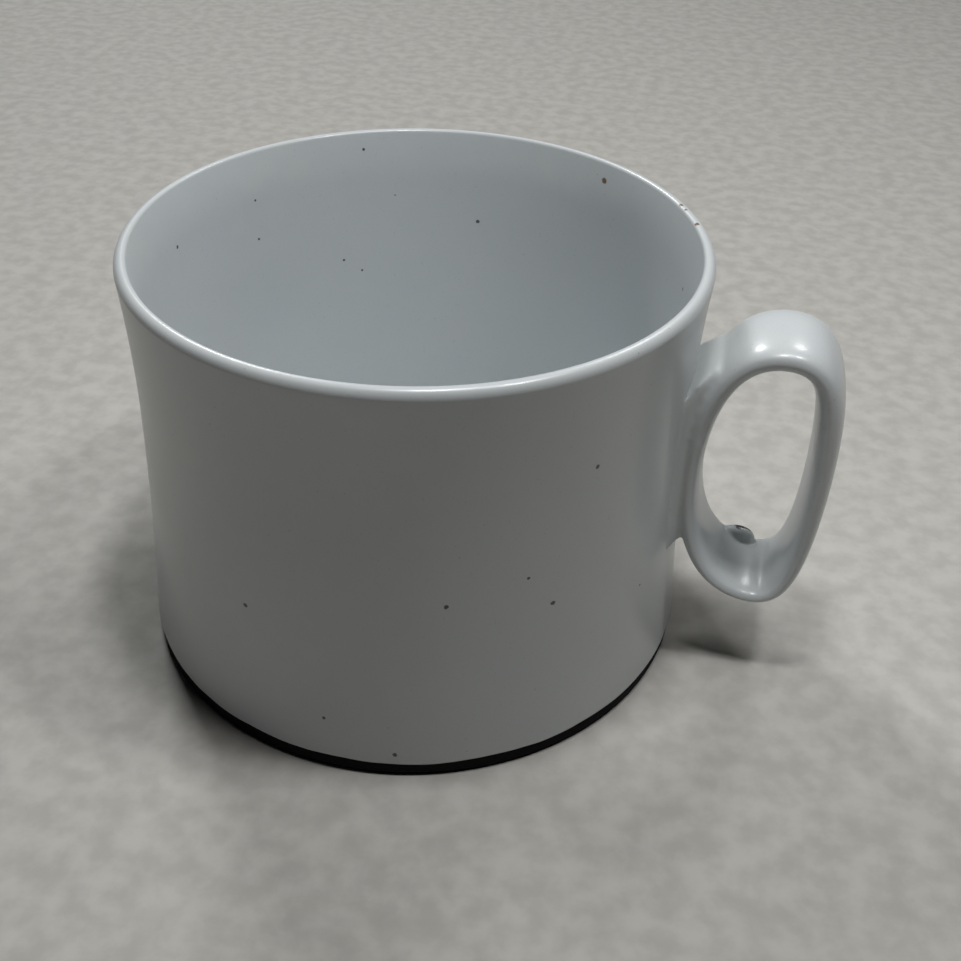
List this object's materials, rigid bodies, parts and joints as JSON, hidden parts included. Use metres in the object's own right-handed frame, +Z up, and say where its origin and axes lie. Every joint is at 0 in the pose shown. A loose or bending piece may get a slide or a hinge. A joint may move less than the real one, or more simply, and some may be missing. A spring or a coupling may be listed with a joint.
{
  "type": "shaving mug",
  "caption": "Wide glazed stoneware mug with a slightly waisted wall, a rounded lip, a bare dark foot and a closed oval ring handle luted to its side.",
  "frame": {"origin": "centre of the foot's underside, on the mug's axis, at the level that it stands on", "axes": "+Z up along the mug's axis, +X from the axis towards the handle"},
  "size_m": [0.1289, 0.104, 0.078],
  "materials": {
    "bare_clay": "matt, fired dark",
    "handle_clay": "matt, fired dark",
    "luting_clay": "matt, fired dark",
    "outer_glaze": "semi-gloss, fine iron specks",
    "liner_glaze": "semi-gloss, fine iron specks",
    "handle_glaze": "semi-gloss, fine iron specks"
  },
  "bodies": {
    "root": {"clay_body": "bare_clay", "handle_ring": "handle_clay", "handle_luting": "luting_clay", "outer_glaze": "outer_glaze", "liner_glaze": "liner_glaze", "handle_glaze": "handle_glaze"}
  },
  "joints": []
}
